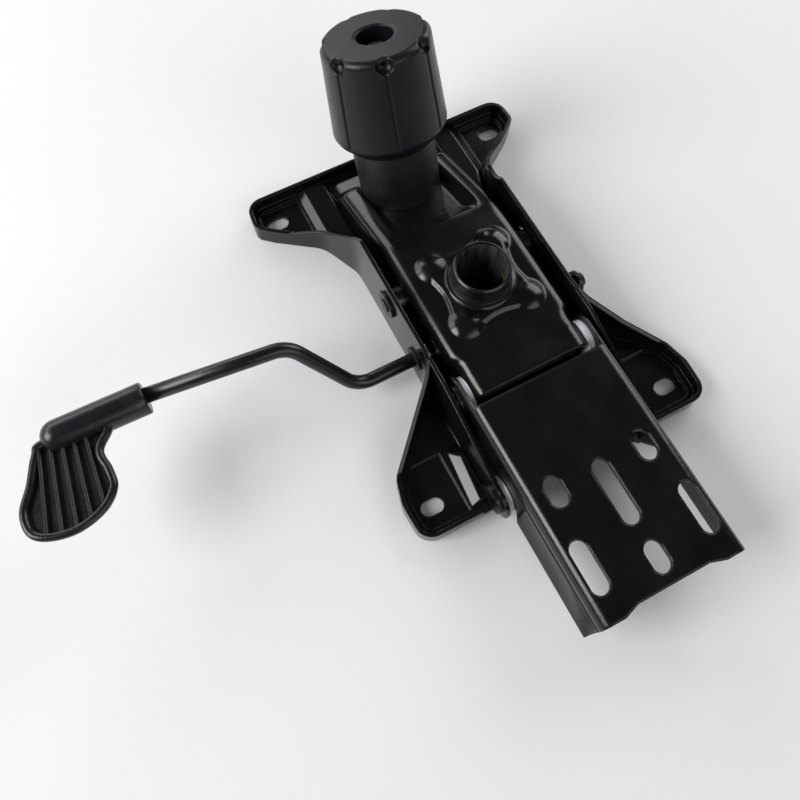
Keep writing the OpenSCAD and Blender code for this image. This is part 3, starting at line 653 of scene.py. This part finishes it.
def paddle_grip():
    """A round grip with a domed end over the rod's tip."""
    axis = (grip_end - grip_start).normalized()
    side = axis.orthogonal().normalized()
    length = (grip_end - grip_start).length
    rings = [(0.0, grip_r - grip_edge), (grip_edge, grip_r)]
    rings += [(length * k / grip_rings, grip_r) for k in range(1, grip_rings + 1)]
    dome_angles = [math.pi / 2 * k / dome_rings for k in range(1, dome_rings)]
    rings += [(length + grip_r * math.sin(a), grip_r * math.cos(a)) for a in dome_angles]
    verts = []
    for along, radius in rings:
        verts += ring(grip_start + axis * along, side, axis.cross(side), radius, grip_sides)
    faces = ring_faces(len(rings), grip_sides)
    obj = new_piece("lever_paddle_grip", verts, faces, paddle_plastic)
    smooth_quads(obj)
    return obj


def lever_paddle():
    loop = smooth_loop([(x / 1000, y / 1000) for x, y in paddle_edge], edge_curve_steps)
    middle = inset(loop, rim_r)
    pieces = [paddle_rim(middle), paddle_plate(loop)]
    pieces += [paddle_rib(number, middle) for number in range(1, rib_count + 1)]
    pieces.append(paddle_grip())
    for obj in pieces:
        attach(obj, "lever")
        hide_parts("lever_paddle")


lever_paddle()


# Pressed housing: the same sheet as the CAD solid, with its bends and embossing drawn soft
sheet, edge_r, top_z = 0.0025, 0.0072, 0.0425
wide_half, rear_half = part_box("housing")[1][0], 0.034
widen_start, widen_end = -0.038, -0.030
rear_y, front_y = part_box("housing")[0][1], 0.116
bend_y, bend_soft = 0.039, 0.006
slide_pin_y, low_front_y = 0.0185, 0.121
low_rear_z, low_pin_z, low_front_z = 0.018, 0.0075, 0.0056
pocket_half, pocket_drop = 0.028, 0.006 / math.cos(lean)
pocket_start, pocket_full = 0.042, 0.054
ridge_in, ridge_out = 0.0080, 0.0010
ridge_fade, ridge_end = 0.098, 0.106
lobe_place, lobe_r, lobe_h, lobe_power, lobe_blend = 0.0185, 0.0100, 0.0042, 0.9, 0.0012
plateau_h, plateau_half, plateau_waist = 0.0026, 0.024, 0.0225
plateau_curve, plateau_edge = 0.030, 0.0026
plateau_centre = plateau_waist + plateau_curve
emboss_reach = 0.02
socket_hole_r = 0.0166
rod_gap_r, rod_gap_z = 0.009, 0.021
main_pin_y, main_pin_z, main_pin_gap_r = -0.050, 0.030, 0.0062
slide_pin_z, slide_pin_gap_r = 0.026, 0.0052
row_step, across_steps, corner_steps, wall_steps = 0.0009, 72, 8, 14
wall_margin = 0.001


def ease(low, high, value):
    """0 up to low and 1 from high on, with a soft step between them."""
    t = min(1.0, max(0.0, (value - low) / (high - low)))
    return t * t * (3 - 2 * t)


def soft_max(a, b, blend):
    """The larger of two heights, with a fillet where they meet."""
    near = max(0.0, blend - abs(a - b)) / blend
    return max(a, b) + near * near * blend / 4


def sheet_half(y):
    return rear_half + (wide_half - rear_half) * ease(widen_start, widen_end, y)


def sheet_top(y):
    """Level round the socket, and sloping to the front from a soft bend on."""
    return top_z - math.tan(lean) * bend_soft * math.log1p(math.exp((y - bend_y) / bend_soft))


def sheet_low(y):
    """Lower edge of the side walls: steep up to the slide pins, then nearly level."""
    if y < slide_pin_y:
        return low_rear_z + (low_pin_z - low_rear_z) * (y - rear_y) / (slide_pin_y - rear_y)
    return low_pin_z + (low_front_z - low_pin_z) * (y - slide_pin_y) / (low_front_y - slide_pin_y)


def embossed(x, y):
    """Height of the lobes and the raised ground between them, less the depth of the spring pocket."""
    apart = (abs(x) - lobe_place) ** 2 + (abs(y) - lobe_place) ** 2
    lobe = lobe_h * max(0.0, 1 - apart / lobe_r ** 2) ** lobe_power
    inside = min(plateau_half - max(abs(x), abs(y)),
                 math.hypot(abs(x) - plateau_centre, y) - plateau_curve,
                 math.hypot(x, abs(y) - plateau_centre) - plateau_curve)
    ground = plateau_h * ease(0.0, plateau_edge, inside)
    raised = soft_max(lobe, ground, lobe_blend) if inside > -emboss_reach else 0.0
    ridge = ease(pocket_half - ridge_in, pocket_half - ridge_out, abs(x))
    ridge *= 1 - ease(ridge_fade, ridge_end, y)
    return raised - pocket_drop * ease(pocket_start, pocket_full, y) * (1 - ridge)


def sheet_section(y):
    """Points of the sheet across the housing, from one wall's foot over the top to the other's."""
    half, top, low = sheet_half(y), sheet_top(y), sheet_low(y)
    flat_half = half - edge_r
    corner_z = top + embossed(flat_half, y) - edge_r
    side = [(half, low + (corner_z - low) * k / wall_steps) for k in range(wall_steps)]
    side += quarter((flat_half, corner_z), edge_r, corner_steps)
    flat = [flat_half * (1 - 2 * k / across_steps) for k in range(across_steps + 1)]
    section = side + [(x, top + embossed(x, y)) for x in flat] + [(-x, z) for x, z in reversed(side)]
    return [(x, y, z) for x, z in section]


def cut_away(x, y, z):
    """Whether a place on the sheet lies in the socket's hole, the rod's notch or a pin's hole."""
    if abs(x) <= sheet_half(y) - wall_margin:
        return math.hypot(x, y) < socket_hole_r
    in_notch = abs(y - rod_y) < rod_gap_r and z < rod_gap_z
    return (in_notch
            or math.hypot(y - rod_y, z - rod_gap_z) < rod_gap_r
            or math.hypot(y - main_pin_y, z - main_pin_z) < main_pin_gap_r
            or math.hypot(y - slide_pin_y, z - slide_pin_z) < slide_pin_gap_r)


def pressed_housing():
    rows = round((front_y - rear_y) / row_step)
    sections = [sheet_section(rear_y + (front_y - rear_y) * i / rows) for i in range(rows + 1)]
    count = len(sections[0])
    verts = [point for section in sections for point in section]
    faces = []
    for i in range(rows):
        a, b = i * count, (i + 1) * count
        for k in range(count - 1):
            quad = (a + k, b + k, b + k + 1, a + k + 1)
            if not cut_away(*(sum(verts[v][axis] for v in quad) / 4 for axis in range(3))):
                faces.append(quad)
    obj = new_piece("housing_pressed", verts, faces, black_coat)
    smooth_quads(obj)
    thick = obj.modifiers.new("sheet", "SOLIDIFY")
    thick.thickness = sheet
    thick.offset = -1.0
    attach(obj, "housing")
    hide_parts("housing")


pressed_housing()


# Ramps from the ears' pads up to the pan
ramp_z, pan_z = 0.0078, 0.0046
ramp_edge, ramp_edge_steps = 0.0008, 3
front_crest = [(0.0386, 0.1240), (0.0516, 0.1240), (0.0516, 0.0850),
               (0.0455, 0.0640), (0.0428, 0.0560), (0.0386, 0.0560)]
front_foot = [(0.0386, 0.1241), (0.0573, 0.1241), (0.0573, 0.0885),
              (0.0475, 0.0630), (0.0432, 0.0480), (0.0386, 0.0480)]
rear_crest = [(0.0466, -0.0720), (0.0490, -0.0720), (0.0515, -0.0985), (0.0466, -0.0985)]
rear_foot = [(0.0466, -0.0640), (0.0545, -0.0660), (0.0573, -0.0997), (0.0466, -0.0997)]


def ear_ramp(name, side, crest, foot):
    """A closed piece between its foot and its crest, which run clockwise on the right side."""
    low = [(side * x, y, pan_z) for x, y in foot]
    high = [(side * x, y, ramp_z) for x, y in crest]
    if side > 0:
        low.reverse()
        high.reverse()
    obj = new_piece(name, low + high, ring_faces(2, len(low)), plate_coat)
    soft_edges = obj.modifiers.new("soft_edges", "BEVEL")
    soft_edges.width = ramp_edge
    soft_edges.segments = ramp_edge_steps
    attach(obj, "seat")


for side, word in ((-1, "left"), (1, "right")):
    ear_ramp(f"front_ear_ramp_{word}", side, front_crest, front_foot)
    ear_ramp(f"rear_ear_ramp_{word}", side, rear_crest, rear_foot)


# Hollow curve between the bracket's walls and their turned out lips
lip_reach, lip_low, curve_top = 0.0035, 0.0219, 0.0370
lip_rear, lip_start, lip_fade = -0.1809, -0.1190, -0.1125
curve_steps, curve_proud, curve_sink, lip_sink = 10, 0.0002, 0.0008, 0.0015
wall_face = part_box("back_bracket")[1][0] - lip_reach + curve_proud


def lip_section(flare):
    """Points from the wall out along the curve to the lip's edge, then back into the lip."""
    section = [(wall_face - curve_sink, curve_top)]
    for k in range(curve_steps + 1):
        share = k / curve_steps
        section.append((wall_face + flare * share ** 2, curve_top + (lip_low - curve_top) * share))
    section.append((wall_face + flare - lip_sink, lip_low))
    return section


def lip_curve(name, side):
    stations = [(lip_rear, lip_reach), (lip_start, lip_reach), (lip_fade, 0.0)]
    verts = [(side * x, y, z) for y, flare in stations for x, z in lip_section(flare)]
    count = len(verts) // len(stations)
    faces = ring_faces(len(stations), count)
    if side < 0:
        faces = [tuple(reversed(face)) for face in faces]
    obj = new_piece(name, verts, faces, lip_coat)
    for poly in obj.data.polygons:
        poly.use_smooth = len(poly.vertices) == 4 and 1 <= poly.index % count <= curve_steps
    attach(obj, "bracket")


lip_curve("bracket_lip_curve_left", -1)
lip_curve("bracket_lip_curve_right", 1)


# Pale floor
floor_half, floor_drop = 6.0, 0.0002
floor_dark, floor_light = (0.86, 0.862, 0.872), (0.90, 0.902, 0.912)


def plain_floor():
    mat, tree, shader, where = start_material("pale_floor")
    cloud = noise(tree, where, scale=3.0, detail=2.0)
    tone = two_tone(tree, cloud, low=0.3, dark=floor_dark, high=0.7, light=floor_light)
    tree.links.new(tone, shader.inputs["Base Color"])
    shader.inputs["Roughness"].default_value = 0.7
    shader.inputs["Specular IOR Level"].default_value = 0.2
    corners = [(-floor_half, -floor_half, 0), (floor_half, -floor_half, 0),
               (floor_half, floor_half, 0), (-floor_half, floor_half, 0)]
    obj = new_piece("floor", corners, [(0, 1, 2, 3)], mat)
    obj.location.z = -floor_drop


plain_floor()


# Soft lights round the part, and a faint pale surrounding
def area_light(name, place, aim, size, power):
    data = bpy.data.lights.new(name, "AREA")
    data.shape = "RECTANGLE"
    data.size, data.size_y = size
    data.energy = power
    obj = bpy.data.objects.new(name, data)
    scene.collection.objects.link(obj)
    obj.location = place
    obj.rotation_euler = (Vector(aim) - Vector(place)).to_track_quat("-Z", "Y").to_euler()


area_light("key", (-1.35, 0.15, 0.95), aim=(-0.05, 0.0, 0.02), size=(0.85, 0.85), power=20.0)
area_light("far_fill", (1.25, 0.55, 0.75), aim=(0.0, 0.0, 0.0), size=(1.2, 1.0), power=12.0)
area_light("near_fill", (0.35, -1.35, 0.95), aim=(0.0, 0.0, 0.0), size=(1.6, 1.0), power=8.0)
area_light("back_fill", (-0.2, 1.55, 0.70), aim=(0.0, 0.05, 0.0), size=(1.6, 0.7), power=9.0)
area_light("front_left_fill", (-1.06, 1.00, 0.87), aim=(-0.05, 0.10, 0.0), size=(0.6, 0.6), power=4.0)

world = bpy.data.worlds.new("studio")
scene.world = world
world.use_nodes = True
backdrop = world.node_tree.nodes["Background"]
backdrop.inputs["Color"].default_value = (0.93, 0.94, 0.96, 1.0)
backdrop.inputs["Strength"].default_value = 0.07


# Camera of the photograph, found from the slots and the socket's mouth
sensor_width, lens = 36.0, 32.4
clip_start, clip_end = 0.01, 20.0
camera_turn, camera_lift, camera_roll = -0.487787, 1.212209, 0.007121
camera_aim, camera_distance = Vector((-0.06697, -0.03624, 0.030)), 0.375827


def photo_camera():
    data = bpy.data.cameras.new("photo_camera")
    data.sensor_width = sensor_width
    data.lens = lens
    data.clip_start = clip_start
    data.clip_end = clip_end
    camera = bpy.data.objects.new("photo_camera", data)
    scene.collection.objects.link(camera)
    forward = Vector((-math.sin(camera_turn) * math.cos(camera_lift),
                      math.cos(camera_turn) * math.cos(camera_lift),
                      -math.sin(camera_lift)))
    level = forward.cross(Vector((0, 0, 1))).normalized()
    above = level.cross(forward)
    right = level * math.cos(camera_roll) + above * math.sin(camera_roll)
    up = above * math.cos(camera_roll) - level * math.sin(camera_roll)
    eye = camera_aim - forward * camera_distance
    camera.matrix_world = Matrix((
        (right.x, up.x, -forward.x, eye.x),
        (right.y, up.y, -forward.y, eye.y),
        (right.z, up.z, -forward.z, eye.z),
        (0, 0, 0, 1)))
    scene.camera = camera


photo_camera()
scene.view_settings.view_transform = "Standard"
